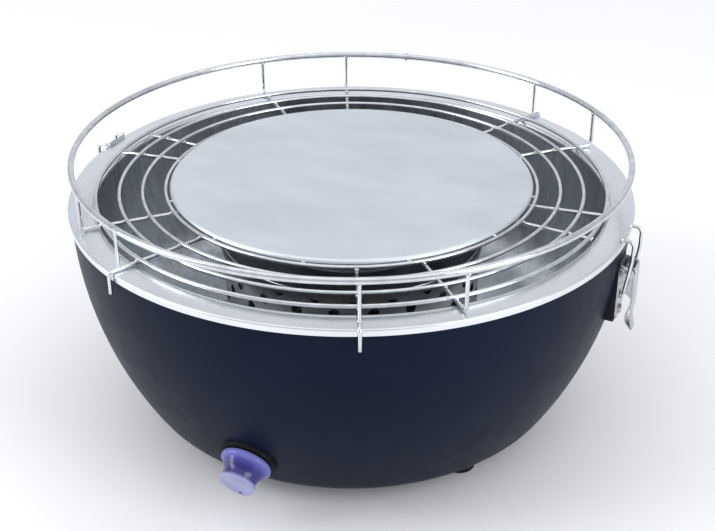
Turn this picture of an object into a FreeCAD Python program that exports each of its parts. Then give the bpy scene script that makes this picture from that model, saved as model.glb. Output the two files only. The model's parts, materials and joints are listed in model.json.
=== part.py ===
import FreeCAD, Part

import math
import os
from FreeCAD import Placement, Rotation, Vector

# Portable tabletop charcoal grill with a fan: a steel outer bowl on three feet, a stainless
# inner bowl, a covered charcoal basket fed by a fan, a wire grate with a solid centre plate
# and a raised guard ring, and a toggle latch on each side.
# Frame: origin on the ground under the bowl's centre, +Z up, front (control knob) towards -Y,
# latches on +X and -X. Millimetres. Angles called "bearing" start at the front and turn
# towards +X.

# ---------------------------------------------------------------- driving dimensions
FOOT_HEIGHT = 7.0
BOWL_DEPTH = 143.0
RIM_TOP = FOOT_HEIGHT + BOWL_DEPTH
FLANGE_R = 175.0
OUTER_RIM_R = 173.4
OUTER_SHEET = 1.5
WALL_ARC_R = 240.0
CORNER_ARC_R = 32.0
INTAKE_R = 30.0

INNER_RIM_R = 159.0
INNER_SHEET = 1.0
INNER_ARC_R = 190.0
INNER_CORNER_R = 30.0
INNER_BOTTOM = 58.0
COLLAR_R = 43.0
COLLAR_TOP = 67.0
FLANGE_LIP = 4.0

PLATE_R = 113.0
RING_RADII = [115.5, 129.6, 143.7, 157.8]
WIRE_R = 1.2
GUARD_WIRE_R = 2.0
GUARD_R = 170.5
GUARD_RISE = 26.0
HOOK_BEARINGS = [25.0, 155.0, 205.0, 335.0]
POST_BEARINGS = [44.0, 134.0, 226.0, 316.0]
SHORT_BEARINGS = [84.0, 96.0, 264.0, 276.0]

BASKET_R = 82.0
BASKET_TOP = 118.0
BASKET_FLOOR = 75.5

KNOB_HEIGHT = 40.0
KNOB_R = 15.3
KNOB_FACE_R = 11.2
KNOB_WAIST_R = 10.1
KNOB_LENGTH = 18.0

FOOT_RING_R = 112.0
FOOT_BEARINGS = [60.0, 180.0, 300.0]
FOOT_R = 9.75

PIVOT_R = 179.0
PIVOT_DROP = 21.0
BAIL_DROP = 33.0
LATCH_HALF_WIDTH = 8.0
BAIL_HALF_WIDTH = 10.2

RUNNING_GAP = 0.05
REST_GAP = 0.3
WELD = 0.1

nodes = {}


# ---------------------------------------------------------------- helpers
def at(bearing, radius, z):
    """Point at a bearing from the front (degrees, towards +X), a radius and a height."""
    a = math.radians(bearing)
    return Vector(radius * math.sin(a), -radius * math.cos(a), z)


def turned(shape, bearing):
    """Copy of a shape drawn along the front (-Y), turned to a bearing."""
    copy = shape.copy()
    copy.rotate(Vector(0, 0, 0), Vector(0, 0, 1), bearing)
    return copy


def cylinder(radius, z0, z1, x=0.0, y=0.0):
    return Part.makeCylinder(radius, z1 - z0, Vector(x, y, z0))


def tube(outer, inner, z0, z1):
    return cylinder(outer, z0, z1).cut(cylinder(inner, z0 - 1, z1 + 1))


def box(x0, x1, y0, y1, z0, z1):
    return Part.makeBox(x1 - x0, y1 - y0, z1 - z0, Vector(x0, y0, z0))


def revolve(edges):
    """Full turn about Z of a closed outline of edges in the XZ plane."""
    face = Part.Face(Part.Wire(Part.__sortEdges__(edges)))
    return face.revolve(Vector(0, 0, 0), Vector(0, 0, 1), 360)


def lines(points, closed=True):
    """Straight edges through (radius, height) pairs in the XZ plane."""
    corners = [Vector(r, 0, z) for r, z in points]
    if closed:
        corners.append(corners[0])
    return [Part.LineSegment(a, b).toShape() for a, b in zip(corners, corners[1:])]


def spin(points):
    return revolve(lines(points))


def arc_edge(centre, radius, start, end):
    """Arc in the XZ plane about (r, z), between two angles in degrees."""
    points = []
    for angle in (start, (start + end) / 2, end):
        a = math.radians(angle)
        points.append(Vector(centre[0] + radius * math.cos(a), 0, centre[1] + radius * math.sin(a)))
    return Part.Arc(*points).toShape()


def wire_path(points, radii):
    """Straight runs joined by tangent arcs. One radius for each inner point."""
    edges = []
    start = points[0]
    for before, corner, after, radius in zip(points, points[1:], points[2:], radii):
        into = (corner - before).normalize()
        out = (after - corner).normalize()
        half_turn = into.getAngle(out) / 2
        back = radius * math.tan(half_turn)
        first = corner - into * back
        last = corner + out * back
        inward = (out - into).normalize()
        middle = corner + inward * (radius / math.cos(half_turn) - radius)
        edges.append(Part.LineSegment(start, first).toShape())
        edges.append(Part.Arc(first, middle, last).toShape())
        start = last
    edges.append(Part.LineSegment(start, points[-1]).toShape())
    return Part.Wire(edges)


def rod(points, radii, wire_radius):
    """Round wire bent along a path."""
    path = wire_path(points, radii)
    heading = (points[1] - points[0]).normalize()
    section = Part.Wire(Part.makeCircle(wire_radius, points[0], heading))
    return path.makePipeShell([section], True, True)


def cable_radii(points):
    """Bend radii of a cable: as large as the two runs beside each corner allow."""
    radii = []
    for before, corner, after in zip(points, points[1:], points[2:]):
        into = corner - before
        out = after - corner
        shorter = min(into.Length, out.Length)
        radii.append(0.45 * shorter / math.tan(into.getAngle(out) / 2))
    return radii


def ring(radius, z, wire_radius):
    return Part.makeTorus(radius, wire_radius, Vector(0, 0, z))


def group(shapes):
    return Part.Compound(shapes)


def mirror_half_turn(shape):
    return turned(shape, 180)


# ---------------------------------------------------------------- bowls
class BowlProfile:
    """Wall arc with a vertical start at the rim, then a corner arc down to a flat bottom."""

    def __init__(self, rim_r, wall_arc, corner_arc, z_start, bottom):
        self.wall_arc = wall_arc
        self.corner_arc = corner_arc
        self.z_start = z_start
        self.bottom = bottom
        self.wall_centre = (rim_r - wall_arc, z_start)
        corner_z = bottom + corner_arc
        reach = math.sqrt((wall_arc - corner_arc) ** 2 - (z_start - corner_z) ** 2)
        self.corner_centre = (self.wall_centre[0] + reach, corner_z)
        self.join_angle = -math.degrees(math.asin((z_start - corner_z) / (wall_arc - corner_arc)))

    def edges(self, inset, top, inner_r=0.0):
        """Outline from the rim down to a radius on the bottom, moved inwards by inset."""
        rim_r = self.wall_centre[0] + self.wall_arc - inset
        floor = self.bottom + inset
        wall = arc_edge(self.wall_centre, self.wall_arc - inset, 0, self.join_angle)
        corner = arc_edge(self.corner_centre, self.corner_arc - inset, self.join_angle, -90)
        rim = lines([(rim_r, top), (rim_r, self.z_start)], closed=False)
        base = lines([(self.corner_centre[0], floor), (inner_r, floor)], closed=False)
        return rim + [wall, corner] + base

    def radius_at(self, z, inset=0.0):
        """Wall radius at a height on the wall arc."""
        drop = self.z_start - z
        return self.wall_centre[0] + math.sqrt((self.wall_arc - inset) ** 2 - drop ** 2)

    def filled(self, inset=0.0):
        """Solid of revolution inside the outline."""
        top = self.z_start + 2
        rim_r = self.wall_centre[0] + self.wall_arc - inset
        cap = lines([(0, self.bottom + inset), (0, top), (rim_r, top)], closed=False)
        return revolve(self.edges(inset, top) + cap)

    def shell(self, sheet, top, hole_r):
        rim_r = self.wall_centre[0] + self.wall_arc
        rim = lines([(rim_r, top), (rim_r - sheet, top)], closed=False)
        hole = lines([(hole_r, self.bottom), (hole_r, self.bottom + sheet)], closed=False)
        return revolve(self.edges(0, top, hole_r) + rim + self.edges(sheet, top, hole_r) + hole)


outer = BowlProfile(OUTER_RIM_R, WALL_ARC_R, CORNER_ARC_R, RIM_TOP - 3, FOOT_HEIGHT)
inner = BowlProfile(INNER_RIM_R, INNER_ARC_R, INNER_CORNER_R, RIM_TOP - 5, INNER_BOTTOM)
bowl_solid = outer.filled()
bowl_floor = FOOT_HEIGHT + OUTER_SHEET
flange_under = RIM_TOP - INNER_SHEET

# The control's axis leaves the front wall square to it, so it tilts down a little.
knob_drop = outer.z_start - KNOB_HEIGHT
KNOB_TILT = math.degrees(math.asin(knob_drop / WALL_ARC_R))
knob_wall_r = outer.radius_at(KNOB_HEIGHT)
knob_turn = Rotation(Vector(1, 0, 0), 90 + KNOB_TILT)
knob_place = Placement(Vector(0, -knob_wall_r, KNOB_HEIGHT), knob_turn)


def on_knob_axis(shape):
    """Place a shape drawn along +Z on the control's axis, the wall's face at height 0."""
    copy = shape.copy()
    copy.Placement = knob_place.multiply(copy.Placement)
    return copy


RIVET_R = 1.6
RIVET_DROPS = [49.0, 39.0]
FOOT_SCREW_R = 2.0
BUSHING_R = 4.5


def latch_rivet_shanks():
    """Shanks of one latch's two rivets, along +X through the wall."""
    length = 16.0
    shanks = []
    for drop in RIVET_DROPS:
        z = RIM_TOP - drop
        start = outer.radius_at(z) - length / 2
        shanks.append(Part.makeCylinder(RIVET_R, length, Vector(start, 0, z), Vector(1, 0, 0)))
    return shanks


def build_outer_bowl():
    shell = outer.shell(OUTER_SHEET, flange_under, INTAKE_R)
    lip = spin([
        (OUTER_RIM_R - 7, flange_under - OUTER_SHEET),
        (OUTER_RIM_R, flange_under - OUTER_SHEET),
        (OUTER_RIM_R, flange_under),
        (OUTER_RIM_R - 7, flange_under),
    ])
    cuts = [on_knob_axis(cylinder(BUSHING_R, -10, 10))]
    for bearing in FOOT_BEARINGS:
        p = at(bearing, FOOT_RING_R, 0)
        cuts.append(cylinder(FOOT_SCREW_R, 0, 20, p.x, p.y))
    for shank in latch_rivet_shanks():
        cuts.append(shank)
        cuts.append(mirror_half_turn(shank))
    return shell.fuse(lip).removeSplitter().cut(cuts)


def build_inner_bowl():
    roll_r = 3.0
    wall_inner_r = INNER_RIM_R - INNER_SHEET
    shell = inner.shell(INNER_SHEET, RIM_TOP - roll_r, COLLAR_R)
    roll_centre = (INNER_RIM_R - INNER_SHEET + roll_r, RIM_TOP - roll_r)
    roll = revolve([
        arc_edge(roll_centre, roll_r, 180, 90),
        arc_edge(roll_centre, roll_r - INNER_SHEET, 180, 90),
    ] + lines([(wall_inner_r, roll_centre[1]), (INNER_RIM_R, roll_centre[1])], closed=False)
      + lines([(roll_centre[0], RIM_TOP), (roll_centre[0], flange_under)], closed=False))
    flange = spin([
        (roll_centre[0], flange_under),
        (roll_centre[0], RIM_TOP),
        (FLANGE_R - 0.6, RIM_TOP),
        (FLANGE_R, RIM_TOP - 0.6),
        (FLANGE_R, RIM_TOP - FLANGE_LIP),
        (FLANGE_R - INNER_SHEET, RIM_TOP - FLANGE_LIP),
        (FLANGE_R - INNER_SHEET, flange_under),
    ])
    collar = tube(COLLAR_R, COLLAR_R - INNER_SHEET, INNER_BOTTOM, COLLAR_TOP)
    return shell.fuse([roll, flange, collar]).removeSplitter()


# ---------------------------------------------------------------- feet and underside
def build_feet():
    feet = []
    for bearing in FOOT_BEARINGS:
        p = at(bearing, FOOT_RING_R, 0)
        foot = cylinder(FOOT_R, 0, FOOT_HEIGHT + 5, p.x, p.y)
        bottom = [e for e in foot.Edges if abs(e.CenterOfMass.z) < 0.01]
        foot = foot.makeFillet(1.8, bottom)
        recess = cylinder(3.8, -1, 3.5, p.x, p.y)
        hole = cylinder(FOOT_SCREW_R, -1, 20, p.x, p.y)
        feet.append(foot.cut([bowl_solid, recess, hole]))
    return group(feet)


def build_foot_screws():
    screws = []
    for bearing in FOOT_BEARINGS:
        p = at(bearing, FOOT_RING_R, 0)
        head = cylinder(3.5, 1.2, 3.5, p.x, p.y)
        slot = box(p.x - 3, p.x + 3, p.y - 0.5, p.y + 0.5, 0, 2.2)
        shank = cylinder(FOOT_SCREW_R, 3.5, 14, p.x, p.y)
        screws.append(head.fuse(shank).cut(slot))
    return group(screws)


def hex_nut(radius, hole, height, centre):
    corners = []
    for k in range(7):
        a = math.radians(60 * k)
        corners.append(centre + Vector(radius * math.cos(a), radius * math.sin(a), 0))
    nut = Part.Face(Part.makePolygon(corners)).extrude(Vector(0, 0, height))
    return nut.cut(cylinder(hole, centre.z - 1, centre.z + height + 1, centre.x, centre.y))


def build_foot_nuts():
    gap = 0.4
    nuts = []
    for bearing in FOOT_BEARINGS:
        nuts.append(hex_nut(3.6, FOOT_SCREW_R, 3.0, at(bearing, FOOT_RING_R, bowl_floor + gap)))
    return group(nuts)


def build_intake_grille():
    disc = cylinder(INTAKE_R, FOOT_HEIGHT, bowl_floor)
    slots = []
    for radius, count in ((25.0, 18), (18.0, 12), (11.0, 8)):
        for k in range(count):
            p = at(360.0 * k / count, radius, 0)
            slots.append(cylinder(2.2, FOOT_HEIGHT - 1, bowl_floor + 1, p.x, p.y))
    return disc.cut(slots)


# ---------------------------------------------------------------- fan
HOUSING_R = 50.0
HOUSING_WALL = 2.0
HOUSING_TOP = 44.0
HOUSING_HOLE_R = 42.0
MOTOR_R = 12.0
SHAFT_R = 1.5
FAN_R = 41.0
MOTOR_TOP = 29.0
WIRE_PORT_Z = 15.0
RETURN_PORT_BEARING = 108.0
MOTOR_PORT_BEARING = 335.0


def build_fan_housing():
    wall = tube(HOUSING_R, HOUSING_R - HOUSING_WALL, bowl_floor, HOUSING_TOP - 2)
    foot = tube(HOUSING_R, 31.0, bowl_floor, bowl_floor + 2)
    cup = tube(MOTOR_R + 2.5, MOTOR_R, bowl_floor, 20)
    arms = []
    for k in range(3):
        arm = box(-3, 3, -32.5, -MOTOR_R - 1, bowl_floor, bowl_floor + 2)
        arms.append(turned(arm, 60 + 120 * k))
    body = wall.fuse([foot, cup] + arms)
    half = 1.8
    slot = box(-half, half, -HOUSING_R - 2, -MOTOR_R, WIRE_PORT_Z - half, WIRE_PORT_Z + half)
    ports = [turned(slot, bearing) for bearing in (RETURN_PORT_BEARING, MOTOR_PORT_BEARING)]
    return body.cut(ports).removeSplitter()


def build_housing_cover():
    return tube(HOUSING_R, HOUSING_HOLE_R, HOUSING_TOP - 2, HOUSING_TOP)


def build_motor():
    can = cylinder(MOTOR_R, bowl_floor + 0.5, MOTOR_TOP)
    boss = cylinder(4.0, MOTOR_TOP, MOTOR_TOP + 1.5)
    bore = cylinder(SHAFT_R + RUNNING_GAP, MOTOR_TOP - 12, MOTOR_TOP + 2)
    return can.fuse(boss).cut(bore)


def build_motor_shaft():
    return cylinder(SHAFT_R, MOTOR_TOP - 11.5, 41)


def build_impeller():
    hub = cylinder(9.0, MOTOR_TOP + 3, 41)
    blades = []
    for k in range(7):
        blade = Part.makeBox(33, 1.4, 12, Vector(8, -0.7, -6))
        blade.rotate(Vector(0, 0, 0), Vector(1, 0, 0), 52)
        blade.translate(Vector(0, 0, 36.5))
        blades.append(turned(blade, 360.0 * k / 7))
    wheel = hub.fuse(blades).common(cylinder(FAN_R, MOTOR_TOP + 2, 42))
    return wheel.cut(cylinder(SHAFT_R, 20, 50))


def build_heat_shield():
    top = HOUSING_TOP + 7
    disc = tube(113.0, HOUSING_HOLE_R, top - 1, top)
    rim = tube(113.0, 112.0, top - 6, top)
    collar = tube(HOUSING_HOLE_R, HOUSING_HOLE_R - 1, HOUSING_TOP, INNER_BOTTOM - 1)
    return disc.fuse([rim, collar]).removeSplitter()


STANDOFF_BEARINGS = [5.0, 75.0, 165.0, 270.0]


def build_standoffs():
    posts = []
    for bearing in STANDOFF_BEARINGS:
        p = at(bearing, 98.0, 0)
        posts.append(cylinder(3.5, bowl_floor, HOUSING_TOP + 6, p.x, p.y))
    return group(posts)


# ---------------------------------------------------------------- battery box
# Drawn along +Y, then turned about Z so that it lies between two feet.
BOX_BEARING = 120.0
BOX_HALF_X = 32.5
BOX_Y0 = 55.0
BOX_Y1 = 114.0
BOX_Z0 = 9.3
BOX_TOP = 27.0
BOX_WALL = 1.5
CELL_R = 7.1
CELL_Y0 = BOX_Y0 + 5.0
CELL_Y1 = CELL_Y0 + 48.5
CELL_PITCH = 14.6
CELL_Z = BOX_Z0 + BOX_WALL + CELL_R
SCREW_X = BOX_HALF_X + 2.5
SCREW_Y = 84.0
SCREW_R = 1.2


def in_box_frame(shape):
    return turned(shape, BOX_BEARING - 180)


def box_point(x, y, z):
    return Rotation(Vector(0, 0, 1), BOX_BEARING - 180).multVec(Vector(x, y, z))


def cell_columns():
    return [(k - 1.5) * CELL_PITCH for k in range(4)]


def build_battery_box():
    case = box(-BOX_HALF_X, BOX_HALF_X, BOX_Y0, BOX_Y1, BOX_Z0, BOX_TOP)
    bay = box(-BOX_HALF_X + BOX_WALL, BOX_HALF_X - BOX_WALL, BOX_Y0 + BOX_WALL, BOX_Y1 - BOX_WALL,
              BOX_Z0 + BOX_WALL, BOX_TOP + 1)
    post = cylinder(3.0, BOX_Z0, BOX_TOP, SCREW_X, SCREW_Y).cut(bay)
    hole = cylinder(SCREW_R, BOX_TOP - 8, BOX_TOP + 1, SCREW_X, SCREW_Y)
    return in_box_frame(case.cut(bay).fuse(post).cut(hole).removeSplitter())


def build_battery_cells():
    cells = []
    for k, x in enumerate(cell_columns()):
        start = Vector(x, CELL_Y0, CELL_Z)
        body = Part.makeCylinder(CELL_R, CELL_Y1 - CELL_Y0, start, Vector(0, 1, 0))
        nub_y = CELL_Y1 if k % 2 else CELL_Y0 - 1
        nub = Part.makeCylinder(2.7, 1, Vector(x, nub_y, CELL_Z), Vector(0, 1, 0))
        cells.append(in_box_frame(body.fuse(nub).removeSplitter()))
    return group(cells)


def build_battery_contacts():
    """A plate and a tapered spring at each end of each cell."""
    sheet = 0.5
    front = BOX_Y0 + BOX_WALL
    back = BOX_Y1 - BOX_WALL
    contacts = []
    for k, x in enumerate(cell_columns()):
        nub_front = 0 if k % 2 else 1
        front_span = (front + sheet, CELL_Y0 - nub_front)
        back_span = (CELL_Y1 + 1 - nub_front, back - sheet)
        for plate_y, span in ((front, front_span), (back - sheet, back_span)):
            plate = box(x - 5, x + 5, plate_y, plate_y + sheet, CELL_Z - 6, CELL_Z + 6)
            wide, narrow = (3.4, 2.2) if plate_y == front else (2.2, 3.4)
            start = Vector(x, span[0], CELL_Z)
            spring = Part.makeCone(wide, narrow, span[1] - span[0], start, Vector(0, 1, 0))
            contacts.append(in_box_frame(plate.fuse(spring)))
    return group(contacts)


def build_battery_lid():
    lid = box(-BOX_HALF_X, BOX_HALF_X, BOX_Y0, BOX_Y1, BOX_TOP, BOX_TOP + 1.5)
    tab = cylinder(3.5, BOX_TOP, BOX_TOP + 1.5, SCREW_X, SCREW_Y)
    rib = box(-20, 20, BOX_Y1 - 14, BOX_Y1 - 12, BOX_TOP + 1.5, BOX_TOP + 3)
    hole = cylinder(SCREW_R, BOX_TOP - 1, BOX_TOP + 2, SCREW_X, SCREW_Y)
    return in_box_frame(lid.fuse([tab, rib]).removeSplitter().cut(hole))


def build_lid_screw():
    head_top = BOX_TOP + 3.2
    head = cylinder(2.4, BOX_TOP + 1.5, head_top, SCREW_X, SCREW_Y)
    slot = box(SCREW_X - 1.8, SCREW_X + 1.8, SCREW_Y - 0.3, SCREW_Y + 0.3, head_top - 0.8, head_top + 1)
    shank = cylinder(SCREW_R, BOX_TOP - 8, BOX_TOP + 1.5, SCREW_X, SCREW_Y)
    return in_box_frame(head.fuse(shank).cut(slot))


# ---------------------------------------------------------------- control
CONTROL_SHAFT_R = 3.0
GASKET_R = 17.2
CONTROL_BODY_R = 8.5
TAG_LENGTH = 5.0
TAG_Z = -8.7
TAG_PITCH = 5.0


def build_speed_control():
    body = cylinder(CONTROL_BODY_R, -12.0, -3.0)
    shoulder = cylinder(6.0, -3.0, -2.2)
    bushing = cylinder(BUSHING_R, -3.0, 5.0)
    tag_end = CONTROL_BODY_R + TAG_LENGTH
    tags = []
    for x in (-TAG_PITCH, 0, TAG_PITCH):
        tags.append(box(x - 1.2, x + 1.2, -tag_end, 2 - CONTROL_BODY_R, TAG_Z - 0.3, TAG_Z + 0.3))
    bore = cylinder(CONTROL_SHAFT_R + RUNNING_GAP, -9.5, 6)
    return on_knob_axis(body.fuse([shoulder, bushing] + tags).cut(bore).removeSplitter())


def build_control_nut():
    return on_knob_axis(hex_nut(7.0, BUSHING_R, 2.0, Vector(0, 0, 1.6)))


def build_knob_gasket():
    """Soft ring on the wall around the control. Its back follows the wall."""
    ring_solid = tube(GASKET_R, BUSHING_R + 0.5, -4, 1.4)
    return on_knob_axis(ring_solid).cut(bowl_solid)


def build_control_shaft():
    return on_knob_axis(cylinder(CONTROL_SHAFT_R, -9.0, KNOB_LENGTH - 4))


KNOB_BASE = 1.8


def knob_body():
    """Spool: a wide collar, a waist and a round face, turned about the axis."""
    neck_top = KNOB_LENGTH - 3.0
    face_back = KNOB_LENGTH - 2.6
    edge_r = 0.8
    waist = Part.BSplineCurve()
    waist.interpolate([
        Vector(KNOB_R - 0.6, 0, KNOB_BASE + 3.2),
        Vector(KNOB_R - 3.2, 0, KNOB_BASE + 5.4),
        Vector(KNOB_WAIST_R + 0.7, 0, KNOB_BASE + 9.0),
        Vector(KNOB_WAIST_R, 0, neck_top),
    ])
    outline = [waist.toShape()]
    outline += lines([(KNOB_WAIST_R, neck_top), (KNOB_FACE_R, face_back)], closed=False)
    outline += lines([(KNOB_FACE_R, face_back), (KNOB_FACE_R, KNOB_LENGTH - edge_r)], closed=False)
    outline.append(arc_edge((KNOB_FACE_R - edge_r, KNOB_LENGTH - edge_r), edge_r, 0, 90))
    outline += lines([(KNOB_FACE_R - edge_r, KNOB_LENGTH), (0, KNOB_LENGTH), (0, KNOB_BASE)], closed=False)
    outline += lines([(0, KNOB_BASE), (KNOB_R - 1.5, KNOB_BASE)], closed=False)
    outline.append(arc_edge((KNOB_R - 1.5, KNOB_BASE + 1.5), 1.5, -90, 0))
    outline += lines([(KNOB_R, KNOB_BASE + 1.5), (KNOB_R, KNOB_BASE + 2.6)], closed=False)
    outline.append(arc_edge((KNOB_R - 0.6, KNOB_BASE + 2.6), 0.6, 0, 90))
    return revolve(outline)


def knob_pointer():
    """Rounded beak on the face that shows where the knob points."""
    z0 = KNOB_LENGTH - 2.6
    tip_y = -KNOB_FACE_R - 2.4
    side_angle = math.radians(33)
    side = Vector(KNOB_FACE_R * math.cos(side_angle), -KNOB_FACE_R * math.sin(side_angle), z0)
    beak = Part.Face(Part.makePolygon([
        Vector(-side.x, side.y, z0),
        Vector(0, tip_y, z0),
        side,
        Vector(-side.x, side.y, z0),
    ])).extrude(Vector(0, 0, 2.6))
    tip = [e for e in beak.Edges if abs(e.CenterOfMass.y - tip_y) < 0.01 and e.Length < 3]
    return beak.makeFillet(1.6, tip)


DOT_Y = 1.6 - KNOB_FACE_R


def build_knob():
    body = knob_body().fuse(knob_pointer()).removeSplitter()
    hollow = cylinder(8.6, 0, KNOB_BASE + 3.4)
    bore = cylinder(CONTROL_SHAFT_R, 0, KNOB_LENGTH - 4)
    dot = cylinder(1.0, KNOB_LENGTH - 0.5, KNOB_LENGTH + 1, 0, DOT_Y)
    return on_knob_axis(body.cut([hollow, bore, dot]))


def build_pointer_dot():
    return on_knob_axis(cylinder(1.0, KNOB_LENGTH - 0.5, KNOB_LENGTH + 0.05, 0, DOT_Y))


# ---------------------------------------------------------------- wiring
WIRE_INSULATION_R = 1.0


def beside_control(x, beyond):
    """Point in line with a terminal tag, some way beyond the tag's end."""
    return knob_place.multVec(Vector(x, -CONTROL_BODY_R - TAG_LENGTH - beyond, TAG_Z))


def build_cable(points):
    radii = cable_radii(points)
    length = wire_path(points, radii).Length
    print("cable length", round(length, 1), "radii", [round(r, 1) for r in radii])
    return rod(points, radii, WIRE_INSULATION_R)


def motor_terminal(bearing):
    return at(bearing, MOTOR_R, WIRE_PORT_Z)


def build_supply_wire():
    """From the battery box round the front of the bowl to the control."""
    return build_cable([
        box_point(BOX_HALF_X, 70, 16),
        box_point(BOX_HALF_X + 9, 70, 16),
        Vector(84, -12, 15),
        Vector(83, -28, 13),
        Vector(77, -46, 12),
        Vector(68, -63, 11.5),
        Vector(56, -79, 11.5),
        Vector(43, -93, 12),
        Vector(29, -105, 13.2),
        Vector(17.5, -115, 16),
        Vector(9.5, -124, 20),
        beside_control(TAG_PITCH, 8),
        beside_control(TAG_PITCH, 0),
    ])


def build_return_wire():
    """From the battery box straight in through the fan housing to the motor."""
    return build_cable([
        box_point(11.5, BOX_Y0, WIRE_PORT_Z + 1),
        at(RETURN_PORT_BEARING, 48, WIRE_PORT_Z + 0.3),
        at(RETURN_PORT_BEARING + 0.8, 38, WIRE_PORT_Z),
        at(RETURN_PORT_BEARING + 1.5, 28, WIRE_PORT_Z - 0.4),
        at(RETURN_PORT_BEARING, 19.5, WIRE_PORT_Z),
        motor_terminal(RETURN_PORT_BEARING),
    ])


def build_motor_wire():
    """From the control to the motor."""
    return build_cable([
        beside_control(-TAG_PITCH, 0),
        beside_control(-TAG_PITCH, 8),
        Vector(-9.5, -124, 20),
        Vector(-16, -114, 15.5),
        Vector(-22, -100, 13.5),
        Vector(-26, -84, 13),
        Vector(-27, -68, 14),
        at(MOTOR_PORT_BEARING, 56, WIRE_PORT_Z),
        at(MOTOR_PORT_BEARING + 0.3, 44, WIRE_PORT_Z + 0.3),
        at(MOTOR_PORT_BEARING + 0.8, 32, WIRE_PORT_Z),
        at(MOTOR_PORT_BEARING, 21, WIRE_PORT_Z),
        motor_terminal(MOTOR_PORT_BEARING),
    ])


# ---------------------------------------------------------------- fire
def build_air_diffuser():
    z0 = COLLAR_TOP - 4
    cap = cylinder(COLLAR_R - INNER_SHEET, z0, z0 + 1.2)
    holes = []
    for radius, count in ((35.0, 18), (26.0, 14), (17.0, 9)):
        for k in range(count):
            p = at(360.0 * k / count, radius, 0)
            holes.append(cylinder(2.6, z0 - 1, z0 + 2, p.x, p.y))
    return cap.cut(holes)


def build_starter_tray():
    z0 = COLLAR_TOP + REST_GAP
    return spin([
        (14.0, z0), (47.0, z0), (47.0, z0 + 6.5), (46.0, z0 + 6.5),
        (46.0, z0 + 1), (15.0, z0 + 1), (15.0, z0 + 6.5), (14.0, z0 + 6.5),
    ])


BASKET_SHEET = 1.0
BASKET_HOLE_R = 3.4
BASKET_HOLE_ROWS = 5
BASKET_HOLES_ROUND = 22
AIR_HOLE_R = 6.0
AIR_HOLE_Z = 69.0
AIR_HOLES = 10


def wall_hole(radius, bearing, z):
    """Drill through the basket's wall at a bearing and a height."""
    return Part.makeCylinder(radius, 10, at(bearing, BASKET_R - 5, z), at(bearing, 1, 0))


def build_charcoal_basket():
    foot = INNER_BOTTOM + INNER_SHEET + REST_GAP
    wall = tube(BASKET_R, BASKET_R - BASKET_SHEET, foot, BASKET_TOP)
    pitch = 360.0 / BASKET_HOLES_ROUND
    holes = []
    for row in range(BASKET_HOLE_ROWS):
        z = BASKET_FLOOR + 9.0 + 9.6 * row
        for k in range(BASKET_HOLES_ROUND):
            holes.append(wall_hole(BASKET_HOLE_R, pitch * (k + 0.5 * (row % 2)), z))
    for k in range(AIR_HOLES):
        holes.append(wall_hole(AIR_HOLE_R, 360.0 * k / AIR_HOLES, AIR_HOLE_Z))
    return wall.cut(holes)


def build_basket_floor():
    disc = cylinder(BASKET_R - BASKET_SHEET, BASKET_FLOOR, BASKET_FLOOR + 1.2)
    holes = []
    for radius, count in ((12.0, 6), (25.0, 12), (38.0, 18), (51.0, 24), (64.0, 30)):
        for k in range(count):
            p = at(360.0 * k / count, radius, 0)
            holes.append(cylinder(3.2, BASKET_FLOOR - 1, BASKET_FLOOR + 3, p.x, p.y))
    return disc.cut(holes)


LID_TOP = BASKET_TOP + REST_GAP + 2.6


def build_basket_lid():
    z0 = BASKET_TOP + REST_GAP
    return spin([
        (0, z0), (BASKET_R + 1, z0), (BASKET_R + 1, z0 - 5), (BASKET_R + 2, z0 - 5),
        (BASKET_R + 2, z0 + 0.6), (BASKET_R + 1.6, z0 + 1), (24.0, z0 + 1), (20.0, LID_TOP), (0, LID_TOP),
    ])


def build_lid_grip():
    half = 13.0
    foot = LID_TOP - 0.2
    top = LID_TOP + 5.6
    points = [(-half, foot), (-half, top), (half, top), (half, foot)]
    return rod([Vector(x, 0, z) for x, z in points], [3.5, 3.5], 1.3)


# ---------------------------------------------------------------- grate
BAR_Z = RIM_TOP + REST_GAP + WIRE_R
RING_Z = BAR_Z + 2 * WIRE_R - WELD
PLATE_TOP = RIM_TOP + 6.5
GUARD_Z = RIM_TOP + GUARD_RISE
BAR_INNER_R = 104.0
HOOK_R = FLANGE_R + 0.6 + WIRE_R
HOOK_END = RIM_TOP - 12.0


def build_grate_plate():
    """Shallow pressed plate with a turned-down edge that stands on the bars."""
    sheet = 1.0
    skirt = BAR_Z + WIRE_R - WELD
    roll = 2.0
    return revolve(
        lines([(0, PLATE_TOP), (PLATE_R - roll, PLATE_TOP)], closed=False)
        + [arc_edge((PLATE_R - roll, PLATE_TOP - roll), roll, 90, 0)]
        + lines([(PLATE_R, PLATE_TOP - roll), (PLATE_R, skirt), (PLATE_R - sheet, skirt),
                 (PLATE_R - sheet, PLATE_TOP - roll)], closed=False)
        + [arc_edge((PLATE_R - roll, PLATE_TOP - roll), roll - sheet, 0, 90)]
        + lines([(PLATE_R - roll, PLATE_TOP - sheet), (0, PLATE_TOP - sheet), (0, PLATE_TOP)], closed=False)
    )


def straight_bar(bearing, outer_r):
    start = at(bearing, BAR_INNER_R, BAR_Z)
    return Part.makeCylinder(WIRE_R, outer_r - BAR_INNER_R, start, at(bearing, 1, 0))


def build_hook_bars():
    bars = []
    for bearing in HOOK_BEARINGS:
        bars.append(rod([
            at(bearing, BAR_INNER_R, BAR_Z),
            at(bearing, HOOK_R, BAR_Z),
            at(bearing, HOOK_R, HOOK_END),
        ], [2.4], WIRE_R))
    return group(bars)


def build_short_bars():
    return group([straight_bar(bearing, RING_RADII[-1] + 1.0) for bearing in SHORT_BEARINGS])


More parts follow.
